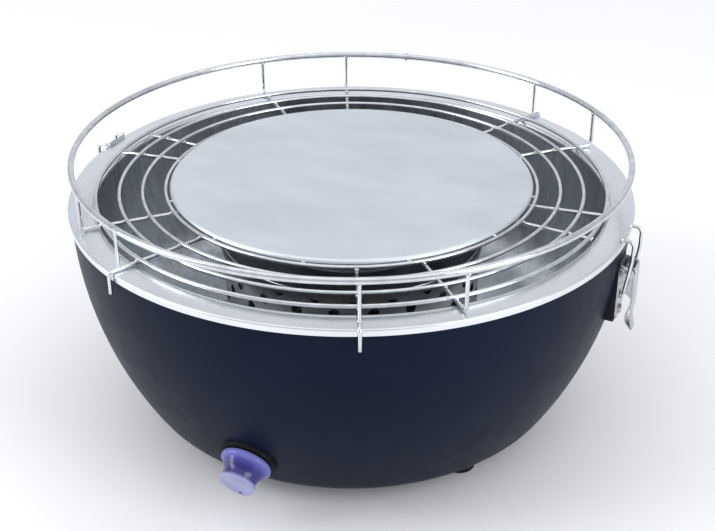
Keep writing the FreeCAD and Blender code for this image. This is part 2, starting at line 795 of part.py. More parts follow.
def build_guard_posts():
    """Posts whose lower ends turn in over the flange and run on as grate bars."""
    posts = []
    for bearing in POST_BEARINGS:
        posts.append(rod([
            at(bearing, GUARD_R, GUARD_Z - GUARD_WIRE_R + WELD),
            at(bearing, GUARD_R, BAR_Z),
            at(bearing, BAR_INNER_R, BAR_Z),
        ], [3.5], WIRE_R))
    return group(posts)


def build_hook_posts():
    """Thin uprights from each hook bar to the guard ring."""
    posts = []
    for bearing in HOOK_BEARINGS:
        p = at(bearing, GUARD_R, 0)
        posts.append(cylinder(1.0, BAR_Z + WIRE_R - WELD, GUARD_Z - GUARD_WIRE_R + WELD, p.x, p.y))
    return group(posts)


def build_plate_tabs():
    """Short wires that join the plate's edge to the first ring."""
    tabs = []
    for k in range(12):
        bearing = 10 + 30.0 * k
        start = at(bearing, PLATE_R - WELD, RING_Z)
        length = RING_RADII[0] - WIRE_R - PLATE_R + 3 * WELD
        tabs.append(Part.makeCylinder(0.9, length, start, at(bearing, 1, 0)))
    return group(tabs)


# ---------------------------------------------------------------- latches
PIVOT_Z = RIM_TOP - PIVOT_DROP
BAIL_Z = RIM_TOP - BAIL_DROP
BAIL_PIVOT_R = PIVOT_R - 1.2
PAD_FACE_R = 173.6
PLATE_FACE_R = PAD_FACE_R + 1.0
LATCH_BOTTOM = RIM_TOP - 53.0
LATCH_TOP = RIM_TOP - 16.0
LEVER_PIN_R = 1.5
BAIL_WIRE_R = 1.0
LEVER_FACE_R = PIVOT_R + 2.6
LEVER_SHEET = 1.2
LEVER_BOTTOM = RIM_TOP - 46.0


def side_plate(points, y0, y1):
    """Plate cut to an outline of (radius, height) pairs, between two Y values."""
    corners = [Vector(r, y0, z) for r, z in points + points[:1]]
    return Part.Face(Part.makePolygon(corners)).extrude(Vector(0, y1 - y0, 0))


def pin_y(radius, half, r, z):
    return Part.makeCylinder(radius, 2 * half, Vector(r, -half, z), Vector(0, 1, 0))


def build_latch_pad():
    pad = box(150, PAD_FACE_R, -9.0, 9.0, LATCH_BOTTOM - 1, LATCH_TOP + 1)
    edges = [e for e in pad.Edges if abs(e.CenterOfMass.x - PAD_FACE_R) < 0.01]
    pad = pad.makeChamfer(0.4, edges)
    return pad.cut([bowl_solid] + latch_rivet_shanks())


def build_latch_base():
    half = LATCH_HALF_WIDTH
    plate = box(PAD_FACE_R, PLATE_FACE_R, -half, half, LATCH_BOTTOM, LATCH_TOP)
    uprights = [e for e in plate.Edges if abs(e.BoundBox.XLength - 1.0) < 0.01]
    plate = plate.makeFillet(2.5, uprights)
    pieces = [plate]
    for side in (-1, 1):
        y0 = side * half if side < 0 else half - 1.0
        ear = side_plate([
            (PLATE_FACE_R - 0.5, PIVOT_Z - 6), (PIVOT_R + 1, PIVOT_Z - 3.4), (PIVOT_R + 1, PIVOT_Z + 3.4),
            (PLATE_FACE_R - 0.5, PIVOT_Z + 4.5),
        ], y0, y0 + 1.0)
        knuckle = Part.makeCylinder(3.4, 1.0, Vector(PIVOT_R, y0, PIVOT_Z), Vector(0, 1, 0))
        pieces.append(ear.fuse(knuckle))
    hole = pin_y(LEVER_PIN_R, 20, PIVOT_R, PIVOT_Z)
    body = pieces[0].fuse(pieces[1:]).removeSplitter()
    return body.cut([hole] + latch_rivet_shanks())


def build_latch_rivets():
    rivets = []
    for drop, shank in zip(RIVET_DROPS, latch_rivet_shanks()):
        z = RIM_TOP - drop
        start = outer.radius_at(z) - OUTER_SHEET - 1.6
        span = box(start, PLATE_FACE_R, -5, 5, z - 5, z + 5)
        head = Part.makeCylinder(3.0, 1.2, Vector(PLATE_FACE_R, 0, z), Vector(1, 0, 0))
        crown = [e for e in head.Edges if abs(e.CenterOfMass.x - PLATE_FACE_R - 1.2) < 0.01]
        head = head.makeFillet(0.7, crown)
        tail = Part.makeCylinder(2.6, 1.2, Vector(start, 0, z), Vector(1, 0, 0))
        rivets.append(shank.common(span).fuse([head, tail]).removeSplitter())
    return group(rivets)


def build_lever_pin():
    half = LATCH_HALF_WIDTH
    pin = pin_y(LEVER_PIN_R, half, PIVOT_R, PIVOT_Z)
    head_r = 2.4
    head = 0.6
    heads = []
    for y in (-half - head, half):
        heads.append(Part.makeCylinder(head_r, head, Vector(PIVOT_R, y, PIVOT_Z), Vector(0, 1, 0)))
    return pin.fuse(heads).removeSplitter()


def build_lever_tail():
    """Strip bent back on itself into a pointed loop that flares outwards."""
    strip = 0.9
    half = 3.6
    tip_z = RIM_TOP - 60.0
    outline = [
        (LEVER_FACE_R + LEVER_SHEET, LEVER_BOTTOM + 0.5),
        (LEVER_FACE_R + 1.0, LEVER_BOTTOM - 7),
        (LEVER_FACE_R + 2.4, tip_z),
        (LEVER_FACE_R + 1.2, tip_z - 0.6),
        (LEVER_FACE_R - 3.0, LEVER_BOTTOM - 8.5),
        (LEVER_FACE_R - 2.0, LEVER_BOTTOM - 3),
        (LEVER_FACE_R, LEVER_BOTTOM + 0.5),
    ]
    gap = [
        (LEVER_FACE_R + LEVER_SHEET - strip, LEVER_BOTTOM - 2.5),
        (LEVER_FACE_R + 1.0 - strip, LEVER_BOTTOM - 7.2),
        (LEVER_FACE_R + 1.2, tip_z + 2.6),
        (LEVER_FACE_R - 2.0, LEVER_BOTTOM - 8.2),
        (LEVER_FACE_R - 1.2, LEVER_BOTTOM - 3.6),
    ]
    return side_plate(outline, -half, half).cut(side_plate(gap, -half - 1, half + 1))


def build_lever():
    """Channel-shaped lever with a looped strip tail."""
    flange_half = 6.2
    flange_sheet = 1.2
    face = side_plate([
        (LEVER_FACE_R, LEVER_BOTTOM), (LEVER_FACE_R + LEVER_SHEET, LEVER_BOTTOM),
        (LEVER_FACE_R + LEVER_SHEET, PIVOT_Z + 0.8), (LEVER_FACE_R, PIVOT_Z + 2.6),
    ], -flange_half, flange_half)
    pieces = [build_lever_tail()]
    for y0 in (-flange_half, flange_half - flange_sheet):
        flange = side_plate([
            (PIVOT_R - 3.4, PIVOT_Z), (PIVOT_R - 2.2, BAIL_Z), (PIVOT_R + 1.0, BAIL_Z - 5.0),
            (LEVER_FACE_R + 0.2, BAIL_Z - 5.0), (LEVER_FACE_R + 0.2, PIVOT_Z),
        ], y0, y0 + flange_sheet)
        along_pin = Vector(0, 1, 0)
        upper = Part.makeCylinder(3.7, flange_sheet, Vector(PIVOT_R, y0, PIVOT_Z), along_pin)
        lower = Part.makeCylinder(2.4, flange_sheet, Vector(BAIL_PIVOT_R, y0, BAIL_Z), along_pin)
        pieces.append(flange.fuse([upper, lower]))
    body = face.fuse(pieces).removeSplitter()
    return body.cut([
        pin_y(LEVER_PIN_R + RUNNING_GAP, 20, PIVOT_R, PIVOT_Z),
        pin_y(BAIL_WIRE_R + RUNNING_GAP, 20, BAIL_PIVOT_R, BAIL_Z),
    ])


def build_bail():
    """Bent wire: pins in the lever, two legs, and a crossbar resting over the flange."""
    half = BAIL_HALF_WIDTH
    bar_r = FLANGE_R - 1.8
    bar_z = RIM_TOP + REST_GAP + BAIL_WIRE_R
    shoulder_r = PIVOT_R + 1.8
    one_side = [
        (BAIL_PIVOT_R, 4.6, BAIL_Z),
        (BAIL_PIVOT_R, half, BAIL_Z),
        (shoulder_r, half, RIM_TOP - 11),
        (shoulder_r, half, bar_z),
        (bar_r, half, bar_z),
    ]
    points = [Vector(r, -y, z) for r, y, z in one_side]
    points += [Vector(r, y, z) for r, y, z in reversed(one_side)]
    radii = [1.6, 12.0, 3.6, 2.2, 2.2, 3.6, 12.0, 1.6]
    return rod(points, radii, BAIL_WIRE_R)


# ---------------------------------------------------------------- all nodes
nodes["outer_bowl"] = build_outer_bowl()
nodes["inner_bowl"] = build_inner_bowl()
nodes["feet"] = build_feet()
nodes["foot_screws"] = build_foot_screws()
nodes["foot_nuts"] = build_foot_nuts()
nodes["intake_grille"] = build_intake_grille()
nodes["fan_housing"] = build_fan_housing()
nodes["housing_cover"] = build_housing_cover()
nodes["motor"] = build_motor()
nodes["motor_shaft"] = build_motor_shaft()
nodes["impeller"] = build_impeller()
nodes["heat_shield"] = build_heat_shield()
nodes["shield_standoffs"] = build_standoffs()
nodes["battery_box"] = build_battery_box()
nodes["battery_cells"] = build_battery_cells()
nodes["battery_contacts"] = build_battery_contacts()
nodes["battery_lid"] = build_battery_lid()
nodes["lid_screw"] = build_lid_screw()
nodes["speed_control"] = build_speed_control()
nodes["control_nut"] = build_control_nut()
nodes["knob_gasket"] = build_knob_gasket()
nodes["control_shaft"] = build_control_shaft()
nodes["knob"] = build_knob()
nodes["pointer_dot"] = build_pointer_dot()
nodes["supply_wire"] = build_supply_wire()
nodes["return_wire"] = build_return_wire()
nodes["motor_wire"] = build_motor_wire()
nodes["air_diffuser"] = build_air_diffuser()
nodes["starter_tray"] = build_starter_tray()
nodes["charcoal_basket"] = build_charcoal_basket()
nodes["basket_floor"] = build_basket_floor()
nodes["basket_lid"] = build_basket_lid()
nodes["lid_grip"] = build_lid_grip()
nodes["grate_plate"] = build_grate_plate()
for number, radius in enumerate(RING_RADII, 1):
    nodes["grate_ring_%d" % number] = ring(radius, RING_Z, WIRE_R)
nodes["plate_tabs"] = build_plate_tabs()
nodes["hook_bars"] = build_hook_bars()
nodes["short_bars"] = build_short_bars()
nodes["guard_posts"] = build_guard_posts()
nodes["hook_posts"] = build_hook_posts()
nodes["guard_ring"] = ring(GUARD_R, GUARD_Z, GUARD_WIRE_R)
rivets = build_latch_rivets()
nodes["latch_rivets"] = group(rivets.Solids + mirror_half_turn(rivets).Solids)
for name, shape in (("latch_pad", build_latch_pad()), ("latch_base", build_latch_base()),
                    ("lever_pin", build_lever_pin()), ("latch_lever", build_lever()),
                    ("latch_bail", build_bail())):
    nodes["right_" + name] = shape
    nodes["left_" + name] = mirror_half_turn(shape)

os.makedirs("parts", exist_ok=True)
for name, shape in nodes.items():
    solids = shape.Solids
    shape = solids[0] if len(solids) == 1 else group(solids)
    state = "valid" if shape.isValid() else "INVALID"
    print(name, len(solids), "solids", round(shape.Volume, 1), "mm3", state)
    shape.exportStep("parts/" + name + ".step")
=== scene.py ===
import json
import math
import random

import bmesh
import bpy
from mathutils import Matrix, Vector


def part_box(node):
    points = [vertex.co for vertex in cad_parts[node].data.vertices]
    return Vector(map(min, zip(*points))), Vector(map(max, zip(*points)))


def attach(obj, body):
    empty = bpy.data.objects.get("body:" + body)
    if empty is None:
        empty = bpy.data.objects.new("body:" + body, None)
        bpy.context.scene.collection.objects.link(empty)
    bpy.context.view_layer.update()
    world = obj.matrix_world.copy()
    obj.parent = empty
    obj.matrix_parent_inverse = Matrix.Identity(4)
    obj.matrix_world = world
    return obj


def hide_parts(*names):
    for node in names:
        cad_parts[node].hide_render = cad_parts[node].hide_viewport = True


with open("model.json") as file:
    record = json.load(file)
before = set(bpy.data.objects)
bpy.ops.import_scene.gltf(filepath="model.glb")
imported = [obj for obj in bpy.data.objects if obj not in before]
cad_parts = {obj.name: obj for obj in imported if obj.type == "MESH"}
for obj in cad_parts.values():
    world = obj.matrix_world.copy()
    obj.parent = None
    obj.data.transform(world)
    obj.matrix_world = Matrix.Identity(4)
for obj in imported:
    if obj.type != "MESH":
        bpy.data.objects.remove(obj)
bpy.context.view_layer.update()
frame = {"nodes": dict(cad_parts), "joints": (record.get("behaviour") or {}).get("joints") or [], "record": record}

# Looks for a portable tabletop charcoal grill. Shapes are drawn in millimetres in the frame's own
# axes (+Z up, knob towards -Y, latches on +X and -X), and scaled to metres when a mesh is made.
# Bearings start at the front (-Y) and turn towards +X, in degrees.
MM = 0.001
UP = Vector((0, 0, 1))
random.seed(7)


# ---------------------------------------------------------------- sizes, from the frame
def box_mm(node):
    low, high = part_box(node)
    return low / MM, high / MM


rim_low, rim_high = box_mm("inner_bowl")
FLANGE_R = rim_high.x
RIM_TOP = rim_high.z
shell_low, shell_high = box_mm("outer_bowl")
SHELL_R = shell_high.x
SHELL_BOTTOM = shell_low.z
plate_low, plate_high = box_mm("grate_plate")
PLATE_R = plate_high.x
PLATE_TOP = plate_high.z
guard_low, guard_high = box_mm("guard_ring")
GUARD_WIRE_R = (guard_high.z - guard_low.z) / 2
GUARD_R = guard_high.x - GUARD_WIRE_R
GUARD_Z = (guard_high.z + guard_low.z) / 2
RINGS = []
for number in range(1, 5):
    low, high = box_mm("grate_ring_%d" % number)
    wire = (high.z - low.z) / 2
    RINGS.append((high.x - wire, (high.z + low.z) / 2, wire))
bar_low, bar_high = box_mm("short_bars")
BAR_Z = (bar_low.z + bar_high.z) / 2
WIRE_R = (bar_high.z - bar_low.z) / 2
HOOK_END = box_mm("hook_bars")[0].z
# Where the grate's bars start under the plate, and their bearings.
BAR_INNER_R = 104.0
HOOK_BEARINGS = (25.0, 155.0, 205.0, 335.0)
POST_BEARINGS = (44.0, 134.0, 226.0, 316.0)
SHORT_BEARINGS = (84.0, 96.0, 264.0, 276.0)
joints = {joint["name"]: joint for joint in frame["joints"]}
slot_of = {row["node"]: row["material_slot"] for row in frame["record"]["subparts"]}
body_of = {}
for body_name, members in frame["record"]["behaviour"]["bodies"].items():
    for member in members:
        body_of[member] = body_name


def at(bearing, radius, z):
    """Point at a bearing from the front, a radius and a height."""
    a = math.radians(bearing)
    return Vector((radius * math.sin(a), -radius * math.cos(a), z))


# ---------------------------------------------------------------- materials
# Most of a noise's values lie between these two.
NOISE_LOW = 0.3
NOISE_HIGH = 0.7


class Paint:
    """A procedural material on one Principled shader, patterned in the object's own space."""

    def __init__(self, name, **sockets):
        self.material = bpy.data.materials.new(name)
        self.material.use_nodes = True
        self.tree = self.material.node_tree
        self.shader = self.tree.nodes["Principled BSDF"]
        self.place = self.tree.nodes.new("ShaderNodeTexCoord").outputs["Object"]
        self.relief = None
        for socket, value in sockets.items():
            self.shader.inputs[socket.replace("_", " ")].default_value = value

    def add(self, kind, links=(), values=(), **settings):
        """A shader node with some of its inputs linked or set."""
        node = self.tree.nodes.new("ShaderNode" + kind)
        for key, value in settings.items():
            setattr(node, key, value)
        for key, value in values:
            node.inputs[key].default_value = value
        for key, source in links:
            self.tree.links.new(source, node.inputs[key])
        return node

    def noise(self, scale, detail=2.0, stretch=(1, 1, 1), roughness=0.5):
        """Noise with features of about 1/scale metres, stretched along the axes."""
        spread = self.add("Mapping", [("Vector", self.place)], [("Scale", stretch)])
        values = [("Scale", scale), ("Detail", detail), ("Roughness", roughness)]
        return self.add("TexNoise", [("Vector", spread.outputs[0])], values).outputs["Fac"]

    def spun(self, scale, detail=3.0):
        """Grooves round the Z axis, as a lathe or a spinning brush leaves them."""
        parts = self.add("SeparateXYZ", [("Vector", self.place)])
        flat = self.add("CombineXYZ", [("X", parts.outputs["X"]), ("Y", parts.outputs["Y"])])
        radius = self.add("VectorMath", [(0, flat.outputs[0])], operation="LENGTH")
        scaled = [("W", radius.outputs["Value"])]
        values = [("Scale", scale), ("Detail", detail), ("Roughness", 0.6)]
        return self.add("TexNoise", scaled, values, noise_dimensions="1D").outputs["Fac"]

    def colours(self, factor, *stops):
        """Base colour from a ramp of (position, colour) stops."""
        ramp = self.add("ValToRGB", [("Fac", factor)])
        elements = ramp.color_ramp.elements
        while len(elements) < len(stops):
            elements.new(0.5)
        for element, (position, colour) in zip(elements, stops):
            element.position = position
            element.color = (*colour, 1)
        self.tree.links.new(ramp.outputs["Color"], self.shader.inputs["Base Color"])
        return self

    def between(self, socket, factor, low, high):
        """A shader value that follows a pattern between two limits."""
        values = [("From Min", NOISE_LOW), ("From Max", NOISE_HIGH), ("To Min", low), ("To Max", high)]
        ranged = self.add("MapRange", [("Value", factor)], values)
        self.tree.links.new(ranged.outputs["Result"], self.shader.inputs[socket])
        return self

    def bump(self, factor, depth, strength=1.0):
        """Relief of a depth in metres. Each call adds to the one before."""
        links = [("Height", factor)]
        if self.relief is not None:
            links.append(("Normal", self.relief))
        node = self.add("Bump", links, [("Distance", depth), ("Strength", strength)])
        self.relief = node.outputs["Normal"]
        self.tree.links.new(self.relief, self.shader.inputs["Normal"])
        return self

    def tangent_round_z(self):
        """Stretch highlights round the Z axis, as spun sheet does."""
        node = self.add("Tangent", direction_type="RADIAL", axis="Z")
        self.tree.links.new(node.outputs["Tangent"], self.shader.inputs["Tangent"])
        return self


def shades(colour, spread):
    """Two stops a little darker and a little lighter than a colour."""
    dark = tuple(c * (1 - spread) for c in colour)
    light = tuple(min(1.0, c * (1 + spread)) for c in colour)
    return (NOISE_LOW, dark), (NOISE_HIGH, light)


def navy_enamel():
    """Satin powder coat: fine orange peel, a faint mottle."""
    paint = Paint("navy_enamel", Specular_IOR_Level=0.10, Specular_Tint=(0.72, 0.86, 1.0, 1.0))
    paint.colours(paint.noise(14, 4), *shades((0.0034, 0.0076, 0.0215), 0.10))
    paint.between("Roughness", paint.noise(70, 3), 0.40, 0.47)
    paint.bump(paint.noise(620, 2), 0.00005, 0.5)
    paint.bump(paint.noise(2600, 1), 0.00001, 0.5)
    return paint


def satin_stainless():
    """Spun sheet with fine grooves round the axis."""
    paint = Paint("satin_stainless", Metallic=1.0, Anisotropic=0.45)
    paint.colours(paint.noise(18, 3), *shades((0.76, 0.79, 0.82), 0.045))
    paint.between("Roughness", paint.spun(1400), 0.20, 0.34)
    paint.bump(paint.spun(2600), 0.000012, 0.5)
    paint.bump(paint.noise(30, 2), 0.0002, 0.15)
    return paint.tangent_round_z()


def shaded_brushed_liner():
    """Brushed sheet inside the bowl, with streaks down the wall, in a darker tone that is painted shade inside the
    bowl.
    """
    paint = Paint("shaded_brushed_liner", Metallic=1.0)
    paint.colours(paint.noise(260, 4, (1, 1, 0.08)), *shades((0.50, 0.53, 0.56), 0.16))
    paint.between("Roughness", paint.noise(120, 4, (1, 1, 0.2)), 0.26, 0.44)
    paint.bump(paint.noise(900, 2, (1, 1, 0.05)), 0.00003, 0.5)
    return paint


def basket_stainless():
    """Perforated sheet that has been hot, with level bands of straw and blue stain."""
    paint = Paint("basket_stainless", Metallic=1.0)
    bands = paint.noise(60, 4, (0.3, 0.3, 1.0))
    paint.colours(bands, (0.30, (0.20, 0.20, 0.22)), (0.48, (0.42, 0.43, 0.45)),
                  (0.62, (0.52, 0.49, 0.45)), (0.74, (0.31, 0.33, 0.39)))
    paint.between("Roughness", paint.noise(90, 4, (0.3, 0.3, 1.0)), 0.14, 0.34)
    paint.bump(paint.noise(1100, 2), 0.00003, 0.4)
    return paint


def plate_stainless():
    """Matt cooking plate: a soft mottle, fine spun lines and small rubs."""
    paint = Paint("plate_stainless", Metallic=1.0)
    paint.colours(paint.noise(15, 6, (1.0, 2.2, 1.0)), *shades((0.70, 0.745, 0.79), 0.07))
    paint.between("Roughness", paint.noise(45, 5, roughness=0.65), 0.36, 0.48)
    paint.bump(paint.noise(9, 2), 0.0016, 0.20)
    paint.bump(paint.spun(3000, 2), 0.000006, 0.5)
    paint.bump(paint.noise(1500, 2), 0.00001, 0.4)
    return paint


def bright_wire():
    """Polished wire with faint draw marks."""
    paint = Paint("bright_wire", Metallic=1.0)
    paint.colours(paint.noise(130, 3), *shades((0.66, 0.685, 0.71), 0.12))
    paint.between("Roughness", paint.noise(420, 3), 0.08, 0.20)
    paint.bump(paint.noise(1600, 2), 0.00002, 0.35)
    return paint


def latch_steel():
    """Pressed strip, brushed along its length."""
    paint = Paint("latch_steel", Metallic=1.0)
    paint.colours(paint.noise(170, 3, (1, 1, 0.3)), *shades((0.48, 0.49, 0.51), 0.18))
    paint.between("Roughness", paint.noise(700, 3, (1, 1, 0.08)), 0.20, 0.38)
    paint.bump(paint.noise(1800, 2, (1, 1, 0.06)), 0.00002, 0.4)
    return paint


def zinc_steel():
    """Plated steel with a fine mottle."""
    paint = Paint("zinc_steel", Metallic=1.0)
    paint.colours(paint.noise(240, 4), *shades((0.56, 0.58, 0.60), 0.12))
    paint.between("Roughness", paint.noise(300, 3), 0.30, 0.50)
    paint.bump(paint.noise(1300, 2), 0.00002, 0.4)
    return paint


def lilac_plastic():
    """Glossy moulded lilac plastic, pale on the collar and the face; the deep blue along the waist is painted
    shade and painted reflection of the dark body between collar and face.

    The colours run outwards along the knob's axis, between two distances in metres.
    """
    ramp_start = 0.004
    ramp_end = 0.0165
    paint = Paint("lilac_plastic", Coat_Weight=0.7, Coat_Roughness=0.14, Specular_IOR_Level=0.2,
                  Subsurface_Weight=0.05, Subsurface_Radius=(0.003, 0.003, 0.006), Subsurface_Scale=1.0)
    outward = -Vector(joints["knob_turn"]["axis"])
    start = Vector(joints["knob_turn"]["pos_m"])
    along = paint.add("VectorMath", [(0, paint.place)], [(1, outward)], operation="DOT_PRODUCT")
    offset = outward.dot(start)
    values = [("From Min", offset + ramp_start), ("From Max", offset + ramp_end),
              ("To Min", 0.0), ("To Max", 1.0)]
    depth = paint.add("MapRange", [("Value", along.outputs["Value"])], values)
    # Painted shade: the waist stops are much darker than the lilac collar and face, standing in for shade and the
    # dark body's reflection along the waist.
    paint.colours(depth.outputs["Result"], (0.0, (0.19, 0.20, 0.55)), (0.24, (0.050, 0.050, 0.30)),
                  (0.45, (0.014, 0.012, 0.15)), (0.82, (0.020, 0.018, 0.17)), (1.0, (0.30, 0.31, 0.56)))
    paint.between("Roughness", paint.noise(240, 2), 0.28, 0.36)
    paint.bump(paint.noise(1500, 2), 0.00001, 0.4)
    return paint


def plastic(name, colour, low, high, grain, depth):
    """Moulded plastic or rubber with a fine surface grain."""
    paint = Paint(name, Specular_IOR_Level=0.30)
    paint.colours(paint.noise(60, 3), *shades(colour, 0.15))
    paint.between("Roughness", paint.noise(160, 2), low, high)
    paint.bump(paint.noise(grain, 2), depth, 0.5)
    return paint


def spring_brass():
    """Sprung contact strip, a little tarnished."""
    paint = Paint("spring_brass", Metallic=1.0)
    paint.colours(paint.noise(220, 3), *shades((0.62, 0.47, 0.22), 0.12))
    paint.between("Roughness", paint.noise(400, 2), 0.22, 0.38)
    return paint


def cell_wrap():
    """Plain jacket with a light lacquer."""
    paint = Paint("cell_wrap", Metallic=0.3, Coat_Weight=0.4)
    paint.colours(paint.noise(40, 2), *shades((0.10, 0.14, 0.16), 0.2))
    paint.between("Roughness", paint.noise(200, 2), 0.25, 0.35)
    return paint


PAINTS = {
    "navy_enamel": navy_enamel(),
    "satin_stainless": satin_stainless(),
    "plate_stainless": plate_stainless(),
    "bright_wire": bright_wire(),
    "latch_steel": latch_steel(),
    "lilac_plastic": lilac_plastic(),
    "violet_mark": plastic("violet_mark", (0.060, 0.035, 0.30), 0.30, 0.40, 1500, 0.00001),
    # Near-black rubber for the feet and the ring round the knob; its very dark colour also stands in for painted
    # shadow round the knob's foot.
    "black_rubber": plastic("black_rubber", (0.0025, 0.0025, 0.0035), 0.60, 0.75, 900, 0.00004),
    "black_plastic": plastic("black_plastic", (0.018, 0.018, 0.020), 0.38, 0.52, 1300, 0.00003),
    "zinc_steel": zinc_steel(),
    "fan_plastic": plastic("fan_plastic", (0.055, 0.060, 0.065), 0.40, 0.55, 1200, 0.00002),
    "cell_wrap": cell_wrap(),
    "spring_brass": spring_brass(),
    "red_insulation": plastic("red_insulation", (0.45, 0.02, 0.02), 0.35, 0.45, 900, 0.00001),
    "black_insulation": plastic("black_insulation", (0.015, 0.015, 0.015), 0.35, 0.45, 900, 0.00001),
    "blue_insulation": plastic("blue_insulation", (0.03, 0.08, 0.40), 0.35, 0.45, 900, 0.00001),
}
# The liner paint is a darker copy of the bowl's own stainless, as painted shade inside the bowl.
shaded_liner_paint = shaded_brushed_liner()
basket_paint = basket_stainless()
BASKET_NODES = ("charcoal_basket", "basket_floor", "basket_lid")


def paint_of(node):
    """Finish of a CAD node: its slot's, or the heat-stained one for the fire basket."""
    return basket_paint if node in BASKET_NODES else PAINTS[slot_of[node]]


# ---------------------------------------------------------------- mesh building
ROUND_SEGMENTS = 256
ON_AXIS = 1e-6
WELD_REACH = 1e-7
BEAD_SEGMENTS = 14
ROUNDED_EDGE_ANGLE = 40


def arc(centre, radius, start, end, steps=8):
    """Points of an arc in a (radius, height) outline, angles in degrees."""
    points = []
    for k in range(steps + 1):
        a = math.radians(start + (end - start) * k / steps)
        points.append((centre[0] + radius * math.cos(a), centre[1] + radius * math.sin(a)))
    return points


def rounded_path(points, radii, step=9.0):
    """Points along straight runs joined by tangent arcs, with one radius for each inner point.

    The arcs have a point about every step degrees.
    """
    path = [points[0]]
    for before, corner, after, radius in zip(points, points[1:], points[2:], radii):
        into = (corner - before).normalized()
        out = (after - corner).normalized()
        turn = into.angle(out)
        back = radius * math.tan(turn / 2)
        first = corner - into * back
        normal = (out - into.dot(out) * into).normalized()
        steps = max(2, round(math.degrees(turn) / step))
        for k in range(steps + 1):
            a = turn * k / steps
            path.append(first + into * (radius * math.sin(a)) + normal * (radius * (1 - math.cos(a))))
    path.append(points[-1])
    return path


class Shape:
    """Vertices and faces of one piece, gathered from several closed shells."""

    def __init__(self):
        self.points = []
        self.faces = []

    def ring_of(self, points):
        start = len(self.points)
        self.points.extend(points)
        return list(range(start, start + len(points)))

    def join(self, lower, upper):
        """Band of quads between two rings, or of triangles where one is a single point."""
        count = max(len(lower), len(upper))
        for k in range(count):
            n = (k + 1) % count
            corners = [lower[k % len(lower)], lower[n % len(lower)],
                       upper[n % len(upper)], upper[k % len(upper)]]
            self.faces.append(list(dict.fromkeys(corners)))

    def lathe(self, outline, segments=192, place=None, swell=None):
        """Full turn about Z of a (radius, height) outline. Radius 0 at both ends closes it there.

        swell(angle, radius, height) gives an amount to add to the radius.
        """
        place = place or Matrix.Identity(4)
        rings = []
        for r, z in outline:
            if r < ON_AXIS:
                rings.append(self.ring_of([place @ Vector((0, 0, z))]))
                continue
            points = []
            for k in range(segments):
                a = 2 * math.pi * k / segments
                radius = r + (swell(a, r, z) if swell else 0.0)
                points.append(place @ Vector((radius * math.cos(a), radius * math.sin(a), z)))
            rings.append(self.ring_of(points))
        pairs = list(zip(rings, rings[1:]))
        if len(rings[0]) > 1:
            pairs.append((rings[-1], rings[0]))
        for lower, upper in pairs:
            self.join(lower, upper)
        return self

    def tube(self, path, radius, sides=16, closed=False, dome=True):
        """Round wire along a path, with rounded ends, or flat ones where dome is False."""
        count = len(path)
        tangents = []
        for k in range(count):
            ahead = path[(k + 1) % count] if closed or k + 1 < count else path[k]
            behind = path[k - 1] if closed or k > 0 else path[k]
            tangents.append((ahead - behind).normalized())
        side = tangents[0].orthogonal().normalized()
        rings = []
        for point, tangent in zip(path, tangents):
            side = (side - side.dot(tangent) * tangent).normalized()
            rings.append((point, side, tangent.cross(side), radius))
        if not closed and dome:
            first_end = self.dome_rings(rings[0], -tangents[0])[::-1]
            last_end = self.dome_rings(rings[-1], tangents[-1])
            rings = first_end + rings + last_end
        loops = []
        for point, u, v, r in rings:
            turn = [2 * math.pi * k / sides for k in range(sides)]
            loops.append(self.ring_of([point + (u * math.cos(a) + v * math.sin(a)) * r for a in turn]))
        pairs = list(zip(loops, loops[1:]))
        if closed:
            pairs.append((loops[-1], loops[0]))
        for lower, upper in pairs:
            self.join(lower, upper)
        if not closed:
            self.faces.append(loops[0][::-1])
            self.faces.append(loops[-1])
        return self

    @staticmethod
    def dome_rings(ring, outward):
        """Shrinking rings that round off a wire's end, half a wire radius long."""
        point, u, v, radius = ring
        rings = []
        for a in (30, 55, 75):
            reach = 0.5 * radius * math.sin(math.radians(a))
            rings.append((point + outward * reach, u, v, radius * math.cos(math.radians(a))))
        return rings

    def torus(self, radius, z, wire, segments=288, sides=16):
        """Closed wire ring, level, at a height."""
        path = [at(360.0 * k / segments, radius, z) for k in range(segments)]
        return self.tube(path, wire, sides, closed=True)

    def bead(self, centre, along, across, up, sizes):
        """Small uneven weld bead, sizes giving its reach along, across and up."""
        outline = [(math.sin(math.radians(a)), -math.cos(math.radians(a))) for a in range(0, 181, 20)]
        scale = Matrix.Diagonal((*sizes, 1))
        turn = Matrix((along, across, up)).transposed().to_4x4()
        phase = random.uniform(0, 6.28)
        depth = random.uniform(0.05, 0.12)
        return self.lathe(outline, BEAD_SEGMENTS, Matrix.Translation(centre) @ turn @ scale,
                          lambda a, r, z: depth * r * math.sin(2 * a + phase))

    def prism(self, outline, y0, y1, place=None):
        """Flat plate cut to an outline of (x, z) pairs, between two Y values."""
        place = place or Matrix.Identity(4)
        near = self.ring_of([place @ Vector((x, y0, z)) for x, z in outline])
        far = self.ring_of([place @ Vector((x, y1, z)) for x, z in outline])
        self.join(near, far)
        self.faces.append(near[::-1])
        self.faces.append(far)
        return self

    def piece(self, name, body, slot, *nodes, paint=None, sharp=38.0, bevel=0.0):
        """Turn the shape into a piece that rides on a body and stands for CAD nodes."""
        mesh = bpy.data.meshes.new(name)
        mesh.from_pydata([p * MM for p in self.points], [], self.faces)
        return finish_piece(name, mesh, body, slot, nodes, paint, sharp, bevel)


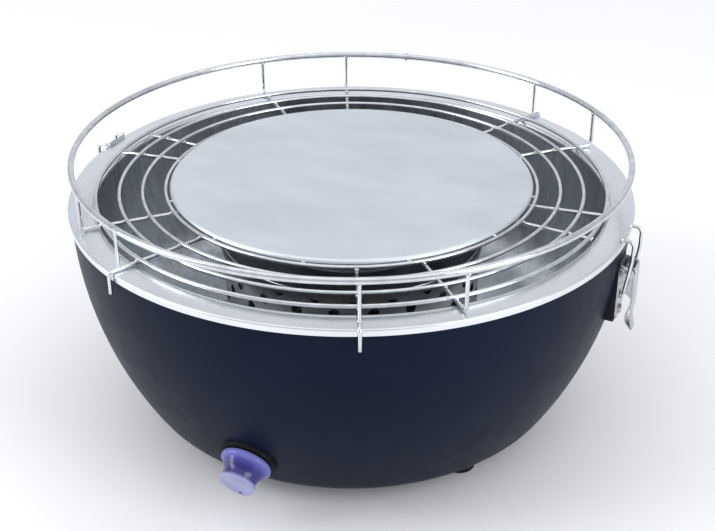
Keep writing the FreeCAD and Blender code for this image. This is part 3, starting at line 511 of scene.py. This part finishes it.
def finish_piece(name, mesh, body, slot, nodes, paint, sharp, bevel):
    """Weld, turn faces outwards, shade, and hand the piece to its body."""
    shell = bmesh.new()
    shell.from_mesh(mesh)
    bmesh.ops.remove_doubles(shell, verts=shell.verts, dist=WELD_REACH)
    bmesh.ops.recalc_face_normals(shell, faces=shell.faces)
    for face in shell.faces:
        face.smooth = True
    shell.to_mesh(mesh)
    shell.free()
    mesh.set_sharp_from_angle(angle=math.radians(sharp))
    mesh.materials.clear()
    mesh.materials.append((paint or PAINTS[slot]).material)
    piece = bpy.data.objects.new(name, mesh)
    bpy.context.scene.collection.objects.link(piece)
    if bevel:
        rounding = piece.modifiers.new("rounding", "BEVEL")
        rounding.width = bevel * MM
        rounding.segments = 2
        rounding.limit_method = "ANGLE"
        rounding.angle_limit = math.radians(ROUNDED_EDGE_ANGLE)
        rounding.harden_normals = False
    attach(piece, body)
    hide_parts(*nodes)
    return piece


def refined(node, bevel, sharp=30.0):
    """The same shape as a CAD node, welded and with its edges rounded."""
    mesh = frame["nodes"][node].data.copy()
    name = node + "_finished"
    finish_piece(name, mesh, body_of[node], slot_of[node], [node], paint_of(node), sharp, bevel)


# ---------------------------------------------------------------- bowls
class BowlOutline:
    """Wall arc with a vertical start at the rim, then a corner arc down to a flat bottom."""

    def __init__(self, rim_r, wall_arc, corner_arc, z_start, bottom):
        self.wall_arc = wall_arc
        self.corner_arc = corner_arc
        self.bottom = bottom
        self.wall_centre = (rim_r - wall_arc, z_start)
        corner_z = bottom + corner_arc
        reach = math.sqrt((wall_arc - corner_arc) ** 2 - (z_start - corner_z) ** 2)
        self.corner_centre = (self.wall_centre[0] + reach, corner_z)
        self.join_angle = -math.degrees(math.asin((z_start - corner_z) / (wall_arc - corner_arc)))

    def skin(self, inset, hole_r):
        """From the rim down to a hole in the bottom, moved inwards by inset."""
        wall = arc(self.wall_centre, self.wall_arc - inset, 0, self.join_angle, 40)
        corner = arc(self.corner_centre, self.corner_arc - inset, self.join_angle, -90, 16)
        return wall + corner[1:] + [(hole_r, self.bottom + inset)]


SHELL_SHEET = 1.5
SHELL_START = RIM_TOP - 3.0
INTAKE_R = box_mm("intake_grille")[1].x
shell_outline = BowlOutline(SHELL_R, 240.0, 32.0, SHELL_START, SHELL_BOTTOM)


def make_outer_bowl():
    """Enamelled shell with a turned-in lip under the flange."""
    lip = 7.0
    roll = 1.2
    top = shell_high.z
    rim = [(SHELL_R - lip, top - SHELL_SHEET), (SHELL_R - lip, top)]
    rim += arc((SHELL_R - roll, top - roll), roll, 90, 0, 6)
    outside = shell_outline.skin(0, INTAKE_R)
    inside = shell_outline.skin(SHELL_SHEET, INTAKE_R)[::-1]
    under_rim = [(SHELL_R - SHELL_SHEET, top - SHELL_SHEET)]
    outline = rim + outside + inside + under_rim
    Shape().lathe(outline, ROUND_SEGMENTS).piece("outer_bowl_shell", "base", "navy_enamel", "outer_bowl")


LINER_R = 159.0
LINER_SHEET = 1.0
LINER_BOTTOM = rim_low.z
COLLAR_R = 43.0
COLLAR_TOP = 67.0


def make_inner_bowl():
    """Stainless liner: a wide flange, a rolled inner edge, the wall and a short collar."""
    roll = 3.0
    edge = 1.1
    edge_inside = 0.5
    soft = 0.5
    flange_ring = LINER_R + 9.0
    lip = RIM_TOP - 4.0
    liner = BowlOutline(LINER_R, 190.0, 30.0, RIM_TOP - 5.0, LINER_BOTTOM)
    inner_r = LINER_R - LINER_SHEET
    centre = (inner_r + roll, RIM_TOP - roll)
    top_side = arc(centre, roll, 180, 90, 8) + [(flange_ring, RIM_TOP)]
    top_side += arc((FLANGE_R - edge, RIM_TOP - edge), edge, 90, 0, 8) + [(FLANGE_R, lip)]
    under_side = [(FLANGE_R - LINER_SHEET, lip)]
    corner = (FLANGE_R - LINER_SHEET - edge_inside, RIM_TOP - LINER_SHEET - edge_inside)
    under_side += arc(corner, edge_inside, 0, 90, 4)
    under_side += arc(centre, roll - LINER_SHEET, 90, 180, 6)
    down = liner.skin(0, COLLAR_R)
    collar = [(COLLAR_R, COLLAR_TOP - soft), (COLLAR_R - 0.3, COLLAR_TOP), (COLLAR_R - 0.7, COLLAR_TOP),
              (COLLAR_R - LINER_SHEET, COLLAR_TOP - soft), (COLLAR_R - LINER_SHEET, LINER_BOTTOM)]
    up = liner.skin(LINER_SHEET, COLLAR_R)[::-1]
    below = [(COLLAR_R, LINER_BOTTOM)]
    outline = top_side + under_side + down[:-1] + below + collar[::-1] + up
    bowl = Shape().lathe(outline, ROUND_SEGMENTS)
    piece = bowl.piece("inner_bowl_liner", "base", "satin_stainless", "inner_bowl")
    # Painted shade: below the rolled edge the wall takes the darker liner paint, though it is the same stainless
    # sheet as the flange.
    piece.data.materials.append(shaded_liner_paint.material)
    wall_top = (RIM_TOP - roll) * MM
    for face in piece.data.polygons:
        if face.center.z < wall_top:
            face.material_index = 1


# ---------------------------------------------------------------- grate
# Weld beads, as half sizes in three directions: outwards from the axis, round it, and up.
CROSSING_BEAD = (1.75, 1.6, 0.95)
POST_TOP_BEAD = (1.7, 1.9, 0.7)
UPRIGHT_TOP_BEAD = (1.4, 1.6, 0.6)
UPRIGHT_FOOT_BEAD = (1.6, 1.4, 0.6)
TAB_BEAD = (0.5, 1.3, 1.1)
# Seams that close the wire rings: half length, and how far they stand out from the wire.
RING_SEAM = 1.3
GUARD_SEAM = 1.6
SEAM_PROUD = 0.12
SEAM_PROUD_UP = 0.1
# Wires: bend radii at the hooks and posts, the hooks' gap outside the flange, and thin wires.
# A welded wire runs 0.1 to 0.4 mm into or past what it is welded to.
HOOK_BEND = 2.4
POST_BEND = 3.5
HOOK_GAP = 0.6
UPRIGHT_WIRE_R = 1.0
TAB_WIRE_R = 0.9
TABS = 12


def make_grate_plate():
    """Pressed plate: a flat top, a rolled edge, a turned-down skirt and a small dimple."""
    sheet = 1.0
    roll = 2.2
    skirt = plate_low.z
    dimple = at(204.0, 72.0, 0)
    dimple_r = 5.0
    dimple_depth = 0.35
    top_rings = 40
    under_rings = 10
    outline = [(0, PLATE_TOP)]
    outline += [(PLATE_R * k / top_rings, PLATE_TOP) for k in range(1, top_rings - 1)]
    outline += arc((PLATE_R - roll, PLATE_TOP - roll), roll, 90, 0, 10)
    outline += [(PLATE_R, skirt), (PLATE_R - sheet, skirt)]
    outline += arc((PLATE_R - roll, PLATE_TOP - roll), roll - sheet, 0, 90, 6)
    outline += [(PLATE_R * k / under_rings, PLATE_TOP - sheet) for k in range(under_rings - 1, -1, -1)]
    shape = Shape().lathe(outline, ROUND_SEGMENTS)
    for point in shape.points:
        reach = math.hypot(point.x - dimple.x, point.y - dimple.y)
        if reach < dimple_r:
            point.z -= dimple_depth * (0.5 + 0.5 * math.cos(math.pi * reach / dimple_r))
    shape.piece("grate_plate_pressed", "grate", "plate_stainless", "grate_plate")


def crossing_beads(shape, bearing, reach):
    """Weld beads where a bar at a bearing passes under each ring."""
    along = at(bearing, 1, 0)
    for radius, z, _ in RINGS:
        if radius <= reach:
            centre = at(bearing, radius, (z + BAR_Z) / 2)
            shape.bead(centre, along, UP.cross(along), UP, CROSSING_BEAD)


def make_rings():
    """The four wire rings, each with its seam at a bearing of its own."""
    for number, (radius, z, wire) in enumerate(RINGS, 1):
        shape = Shape().torus(radius, z, wire)
        seam = at(150.0 + 47.0 * number, radius, z)
        along = UP.cross(seam).normalized()
        outward = Vector((seam.x, seam.y, 0)).normalized()
        shape.bead(seam, along, outward, UP, (RING_SEAM, wire + SEAM_PROUD, wire + SEAM_PROUD_UP))
        shape.piece("grate_ring_%d_wire" % number, "grate", "bright_wire", "grate_ring_%d" % number)


def make_hook_bars():
    """Bars that run out over the flange and hook down outside it."""
    hook_r = FLANGE_R + HOOK_GAP + WIRE_R
    tip = HOOK_END + WIRE_R / 2
    shape = Shape()
    for bearing in HOOK_BEARINGS:
        corners = [at(bearing, BAR_INNER_R, BAR_Z), at(bearing, hook_r, BAR_Z), at(bearing, hook_r, tip)]
        shape.tube(rounded_path(corners, [HOOK_BEND]), WIRE_R)
        crossing_beads(shape, bearing, hook_r)
    shape.piece("hook_bars_wire", "grate", "bright_wire", "hook_bars")


def make_short_bars():
    """Bars that end just past the outer ring."""
    end = RINGS[-1][0] + 0.4
    shape = Shape()
    for bearing in SHORT_BEARINGS:
        shape.tube([at(bearing, BAR_INNER_R, BAR_Z), at(bearing, end, BAR_Z)], WIRE_R)
        crossing_beads(shape, bearing, end)
    shape.piece("short_bars_wire", "grate", "bright_wire", "short_bars")


def make_guard():
    """Guard ring, the posts that turn in as grate bars, and the thin uprights on the hook bars."""
    ring = Shape().torus(GUARD_R, GUARD_Z, GUARD_WIRE_R, 360, 20)
    seam = at(190.0, GUARD_R, GUARD_Z)
    seam_size = (GUARD_SEAM, GUARD_WIRE_R + SEAM_PROUD, GUARD_WIRE_R + SEAM_PROUD_UP)
    ring.bead(seam, UP.cross(seam).normalized(), seam.normalized(), UP, seam_size)
    ring.piece("guard_ring_wire", "grate", "bright_wire", "guard_ring")

    post_top = GUARD_Z - GUARD_WIRE_R
    posts = Shape()
    for bearing in POST_BEARINGS:
        along = at(bearing, 1, 0)
        top = at(bearing, GUARD_R, post_top)
        corners = [top + UP * 0.3, at(bearing, GUARD_R, BAR_Z), at(bearing, BAR_INNER_R, BAR_Z)]
        posts.tube(rounded_path(corners, [POST_BEND]), WIRE_R, dome=False)
        posts.bead(top, along, UP.cross(along), UP, POST_TOP_BEAD)
        crossing_beads(posts, bearing, GUARD_R)
    posts.piece("guard_posts_wire", "grate", "bright_wire", "guard_posts")

    uprights = Shape()
    for bearing in HOOK_BEARINGS:
        along = at(bearing, 1, 0)
        top = at(bearing, GUARD_R, post_top)
        foot = at(bearing, GUARD_R, BAR_Z + WIRE_R)
        uprights.tube([foot - UP * 0.1, top + UP * 0.2], UPRIGHT_WIRE_R, dome=False)
        uprights.bead(top, along, UP.cross(along), UP, UPRIGHT_TOP_BEAD)
        uprights.bead(foot, along, UP.cross(along), UP, UPRIGHT_FOOT_BEAD)
    uprights.piece("hook_posts_wire", "grate", "bright_wire", "hook_posts")


def make_plate_tabs():
    """Short wires that join the plate's edge to the first ring."""
    radius, z, wire = RINGS[0]
    inner = PLATE_R - 0.1
    outer = radius - wire + 0.2
    shape = Shape()
    for k in range(TABS):
        bearing = 10 + 360.0 / TABS * k
        along = at(bearing, 1, 0)
        shape.tube([at(bearing, inner, z), at(bearing, outer, z)], TAB_WIRE_R, dome=False)
        shape.bead(at(bearing, PLATE_R, z), along, UP.cross(along), UP, TAB_BEAD)
    shape.piece("plate_tabs_wire", "grate", "bright_wire", "plate_tabs")


# ---------------------------------------------------------------- control knob
knob_pos = Vector(joints["knob_turn"]["pos_m"]) / MM
knob_out = -Vector(joints["knob_turn"]["axis"]).normalized()
knob_tilt = math.asin(-knob_out.z)
knob_place = Matrix.Translation(knob_pos) @ Matrix.Rotation(math.pi / 2 + knob_tilt, 4, "X")
KNOB_R = 15.3
KNOB_FACE_R = 11.2
KNOB_WAIST_R = 10.1
KNOB_LENGTH = 18.0
KNOB_BASE = 1.8
POINTER_REACH = 2.0
DOT_R = 1.0
DOT_REACH = KNOB_FACE_R - 1.6
POINTER_HALF_ANGLE = 48


def curve(points, steps):
    """Smooth line through every (radius, height) point: a Catmull-Rom spline, its ends doubled."""
    line = []
    padded = [points[0]] + points + [points[-1]]
    for four in zip(padded, padded[1:], padded[2:], padded[3:]):
        for k in range(steps):
            t = k / steps
            weights = (-t ** 3 + 2 * t * t - t, 3 * t ** 3 - 5 * t * t + 2,
                       -3 * t ** 3 + 4 * t * t + t, t ** 3 - t * t)
            line.append(tuple(sum(w * p[i] for w, p in zip(weights, four)) / 2 for i in (0, 1)))
    return line + [points[-1]]


def make_knob():
    """Spool-shaped knob: a wide rounded collar, a waist, and a face with a blunt pointer."""
    face_back = KNOB_LENGTH - 2.6
    dish = 0.25
    dish_r = KNOB_FACE_R - 2.6
    edge = 0.9
    back_edge = 0.5
    shoulder = 1.3
    base_edge = 1.5
    hollow_r = 8.6
    hollow_top = KNOB_BASE + 3.4
    shaft_r = 3.0
    hollow_end = KNOB_LENGTH - 4.0
    face = [(0, KNOB_LENGTH - dish), (dish_r, KNOB_LENGTH - dish), (dish_r + 0.5, KNOB_LENGTH - 0.02)]
    face += arc((KNOB_FACE_R - edge, KNOB_LENGTH - edge), edge, 90, 0, 6)
    face += arc((KNOB_FACE_R - back_edge, face_back + back_edge), back_edge, 0, -90, 4)
    waist = curve([(KNOB_WAIST_R, face_back - 0.6), (KNOB_WAIST_R + 0.5, KNOB_BASE + 9.6),
                   (KNOB_WAIST_R + 2.0, KNOB_BASE + 6.8), (KNOB_R - 1.7, KNOB_BASE + 4.3)], 6)
    collar = arc((KNOB_R - shoulder, KNOB_BASE + 2.7), shoulder, 60, 0, 5)
    collar += arc((KNOB_R - base_edge, KNOB_BASE + base_edge), base_edge, 0, -90, 6)
    inside = [(hollow_r, KNOB_BASE), (hollow_r, hollow_top), (shaft_r, hollow_top), (shaft_r, hollow_end),
              (0, hollow_end)]

    def pointer(a, r, z):
        """Pull the face's edge out to a blunt beak on its lower side."""
        off = abs(math.degrees(math.remainder(a + math.pi / 2, 2 * math.pi)))
        if z < face_back - 0.1 or r < dish_r - 0.1 or off >= POINTER_HALF_ANGLE:
            return 0.0
        return POINTER_REACH * 0.5 * (1 + math.cos(math.pi * off / POINTER_HALF_ANGLE))

    outline = face + [(KNOB_WAIST_R, face_back)] + waist + collar + inside
    Shape().lathe(outline, 144, knob_place, pointer).piece("knob_spool", "knob", "lilac_plastic", "knob")
    dot_bottom = KNOB_LENGTH - 0.5
    dot_top = KNOB_LENGTH + 0.05
    dot = [(0, dot_bottom), (DOT_R, dot_bottom), (DOT_R, KNOB_LENGTH), (DOT_R - 0.25, dot_top), (0, dot_top)]
    dot_place = knob_place @ Matrix.Translation((0, -DOT_REACH, 0))
    Shape().lathe(dot, 32, dot_place).piece("pointer_dot_inlay", "knob", "violet_mark", "pointer_dot")


# ---------------------------------------------------------------- fire basket and tray
def make_basket_lid():
    """Lid with a turned-down rounded edge, a stiffening bead and a raised middle under the grip."""
    low, high = box_mm("basket_lid")
    sheet = 1.0
    roll = 1.8
    flat = low.z + 6.0
    bend = (high.x - roll, flat - roll)
    middle_r = 18.5
    bead_r = 60.5
    bead_height = 0.8
    soft = 0.25
    outline = [(0, high.z), (middle_r, high.z), (middle_r + 2.0, high.z - soft),
               (middle_r + 4.5, flat + soft), (middle_r + 7.0, flat)]
    outline += [(bead_r - 3.5, flat), (bead_r - 2.0, flat + soft), (bead_r, flat + bead_height),
                (bead_r + 2.0, flat + soft), (bead_r + 3.5, flat)]
    outline += arc(bend, roll, 90, 0, 8) + [(high.x, low.z), (high.x - sheet, low.z)]
    outline += arc(bend, roll - sheet, 0, 90, 5) + [(0, flat - sheet)]
    lid = Shape().lathe(outline, 160)
    lid.piece("basket_lid_pressed", "basket_lid", "satin_stainless", "basket_lid", paint=basket_paint)

    wire = 1.3
    grip_bend = 3.5
    foot_bead = (2.1, 2.1, 0.6)
    grip_low, grip_high = box_mm("lid_grip")
    half = grip_high.x - wire
    top = grip_high.z - wire
    foot = grip_low.z + 0.1
    corners = [Vector((x, 0, z)) for x, z in ((-half, foot), (-half, top), (half, top), (half, foot))]
    grip = Shape().tube(rounded_path(corners, [grip_bend, grip_bend]), wire, dome=False)
    for x in (-half, half):
        grip.bead(Vector((x, 0, high.z)), Vector((1, 0, 0)), Vector((0, 1, 0)), UP, foot_bead)
    grip.piece("lid_grip_wire", "basket_lid", "bright_wire", "lid_grip")


def make_starter_tray():
    """Ring-shaped trough with rounded corners and softened rims."""
    low, high = box_mm("starter_tray")
    sheet = 1.0
    corner = 2.2
    lip = 0.3
    outer = high.x
    inner = 14.0
    outer_bend = (outer - corner, low.z + corner)
    inner_bend = (inner + corner, low.z + corner)

    def rim(start, end):
        """Softened top of a wall, from one face of the sheet to the other."""
        return [(start, high.z - lip), (start + lip, high.z), (end - lip, high.z), (end, high.z - lip)]

    outline = rim(outer - sheet, outer)
    outline += arc(outer_bend, corner, 0, -90, 8) + arc(inner_bend, corner, -90, -180, 8)
    outline += rim(inner, inner + sheet)
    outline += arc(inner_bend, corner - sheet, 180, 270, 6) + arc(outer_bend, corner - sheet, 270, 360, 6)
    Shape().lathe(outline, 128).piece("starter_tray_spun", "starter_tray", "satin_stainless", "starter_tray")


# ---------------------------------------------------------------- latches
# Places in a latch's middle plane: R is out from the grill's axis, and Z is up.
PIVOT_R = 179.0
PIVOT_Z = RIM_TOP - 21.0
BAIL_Z = RIM_TOP - 33.0
BAIL_R = PIVOT_R - 1.2
LEVER_FACE_R = PIVOT_R + 2.6
LEVER_BOTTOM = RIM_TOP - 46.0
BAIL_WIRE_R = 1.0
LEVER_HALF = 6.2
LEVER_SHEET = 1.2
BAIL_HALF = 10.2


def strip_outline(line, thickness):
    """Closed outline of a strip of even thickness along an open (x, z) line."""
    left = []
    right = []
    for k, (x, z) in enumerate(line):
        a = line[max(k - 1, 0)]
        b = line[min(k + 1, len(line) - 1)]
        length = math.hypot(b[0] - a[0], b[1] - a[1])
        nx = -(b[1] - a[1]) / length * thickness / 2
        nz = (b[0] - a[0]) / length * thickness / 2
        left.append((x + nx, z + nz))
        right.append((x - nx, z - nz))
    return left + right[::-1]


def make_lever(side, place):
    """Channel with two rounded cheeks and a strip tail bent back into a pointed loop."""
    boss_r = 3.7
    bail_eye_r = 2.4
    tail_sheet = 0.9
    tail_half = 3.6
    tail_line = [(0.7, 6.0), (0.7, -1.0), (0.5, -6.5), (1.6, -12.0), (2.0, -13.9),
                 (0.9, -13.2), (-1.9, -9.6), (-2.2, -5.0), (-0.9, -0.5), (0.2, 3.0)]
    shape = Shape()
    back = [(LEVER_FACE_R, LEVER_BOTTOM), (LEVER_FACE_R + LEVER_SHEET, LEVER_BOTTOM),
            (LEVER_FACE_R + LEVER_SHEET, PIVOT_Z + 0.8), (LEVER_FACE_R, PIVOT_Z + 2.6)]
    shape.prism(back, -LEVER_HALF, LEVER_HALF, place)
    cheek = arc((PIVOT_R, PIVOT_Z), boss_r, 0, 195, 10) + arc((BAIL_R, BAIL_Z), bail_eye_r, 190, 290, 6)
    cheek += [(LEVER_FACE_R + 0.2, BAIL_Z - 5.0), (LEVER_FACE_R + 0.2, PIVOT_Z - 0.5)]
    for y0 in (-LEVER_HALF, LEVER_HALF - LEVER_SHEET):
        shape.prism(cheek, y0, y0 + LEVER_SHEET, place)
    tail = curve([(LEVER_FACE_R + out, LEVER_BOTTOM + rise) for out, rise in tail_line], 5)
    shape.prism(strip_outline(tail, tail_sheet), -tail_half, tail_half, place)
    shape.piece(side + "_lever_pressed", side + "_lever", "latch_steel", side + "_latch_lever", bevel=0.18)


def make_bail(side, place):
    """Bent wire: pins in the lever's cheeks, two legs, and a crossbar over the flange."""
    bar_r = FLANGE_R - 1.8
    pin_start = 4.6
    bar_z = box_mm(side + "_latch_bail")[1].z - BAIL_WIRE_R
    shoulder_r = PIVOT_R + 1.8
    shoulder_z = RIM_TOP - 11
    one_side = [(BAIL_R, pin_start, BAIL_Z), (BAIL_R, BAIL_HALF, BAIL_Z), (shoulder_r, BAIL_HALF, shoulder_z),
                (shoulder_r, BAIL_HALF, bar_z), (bar_r, BAIL_HALF, bar_z)]
    bends = [1.6, 12.0, 3.6, 2.2]
    points = [place @ Vector((r, -y, z)) for r, y, z in one_side]
    points += [place @ Vector((r, y, z)) for r, y, z in reversed(one_side)]
    bail = Shape().tube(rounded_path(points, bends + bends[::-1], 7.0), BAIL_WIRE_R)
    bail.piece(side + "_bail_wire", side + "_bail", "bright_wire", side + "_latch_bail")


def make_latches():
    """Both latches, the left one turned half round from the right one."""
    for side, turn in (("right", 0.0), ("left", math.pi)):
        place = Matrix.Rotation(turn, 4, "Z")
        make_lever(side, place)
        make_bail(side, place)
        refined(side + "_latch_base", 0.2)
        refined(side + "_latch_pad", 0.25)
        refined(side + "_lever_pin", 0.15)
    refined("latch_rivets", 0.1)


# ---------------------------------------------------------------- floor, light and camera
def make_floor():
    """Flat matt white floor."""
    half = 14.0
    mesh = bpy.data.meshes.new("floor")
    corners = [(-half, -half, 0), (half, -half, 0), (half, half, 0), (-half, half, 0)]
    mesh.from_pydata(corners, [], [(0, 1, 2, 3)])
    floor = bpy.data.objects.new("floor", mesh)
    bpy.context.scene.collection.objects.link(floor)
    paint = Paint("floor_paper", Specular_IOR_Level=0.1)
    paint.colours(paint.noise(3, 2), *shades((0.94, 0.94, 0.94), 0.006))
    paint.between("Roughness", paint.noise(5, 2), 0.75, 0.85)
    mesh.materials.append(paint.material)


def area_light(name, location, target, size, power, colour=(1, 1, 1)):
    """Softbox at a place, facing a target, in metres and watts."""
    data = bpy.data.lights.new(name, "AREA")
    data.shape = "RECTANGLE"
    data.size, data.size_y = size
    data.energy = power
    data.color = colour
    light = bpy.data.objects.new(name, data)
    light.location = location
    light.rotation_euler = (Vector(target) - Vector(location)).to_track_quat("-Z", "Y").to_euler()
    bpy.context.scene.collection.objects.link(light)


def make_light():
    """Even pale surround, a large box overhead, a strip on each side and a weak panel behind."""
    surround = (0.93, 0.95, 1.0, 1)
    surround_strength = 0.70
    strip_white = (0.97, 0.98, 1.0)
    world = bpy.data.worlds.new("studio")
    bpy.context.scene.world = world
    world.use_nodes = True
    background = world.node_tree.nodes["Background"]
    background.inputs["Color"].default_value = surround
    background.inputs["Strength"].default_value = surround_strength
    area_light("overhead", (0.0, 0.1, 2.3), (0, 0, 0.1), (3.4, 3.0), 18)
    area_light("left_strip", (-1.25, -0.85, 0.75), (0, 0, 0.08), (0.7, 1.3), 13, strip_white)
    area_light("right_strip", (1.45, -0.35, 0.7), (0, 0, 0.08), (0.7, 1.2), 10, strip_white)
    area_light("back_panel", (-0.6, 2.0, 0.95), (0, 0, 0.12), (3.0, 1.2), 2.0)


def make_camera():
    """Three-quarter view from the front right, a little above."""
    azimuth = math.radians(23.7)
    elevation = math.radians(24.9)
    distance = 0.80
    aim = Vector((0.004, 0, 0.093))
    rim_centre = Vector((0, 0, RIM_TOP * MM))
    back = Vector((math.sin(azimuth) * math.cos(elevation), -math.cos(azimuth) * math.cos(elevation),
                   math.sin(elevation)))
    data = bpy.data.cameras.new("camera")
    data.sensor_width = 36.0
    data.lens = 64.0
    camera = bpy.data.objects.new("camera", data)
    camera.location = rim_centre + back * distance
    camera.rotation_euler = (aim - camera.location).to_track_quat("-Z", "Y").to_euler()
    bpy.context.scene.collection.objects.link(camera)
    bpy.context.scene.camera = camera


# ---------------------------------------------------------------- everything
for node_name, node in frame["nodes"].items():
    node.data.materials.clear()
    node.data.materials.append(paint_of(node_name).material)

make_outer_bowl()
make_inner_bowl()
make_grate_plate()
make_rings()
make_hook_bars()
make_short_bars()
make_guard()
make_plate_tabs()
make_knob()
make_latches()
make_basket_lid()
make_starter_tray()
# The black ring round the knob's foot is partly a real rubber ring and partly painted shadow round the knob.
refined("knob_gasket", 0.3)
refined("feet", 0.3)
make_floor()
make_light()
make_camera()
bpy.context.scene.view_settings.view_transform = "Standard"
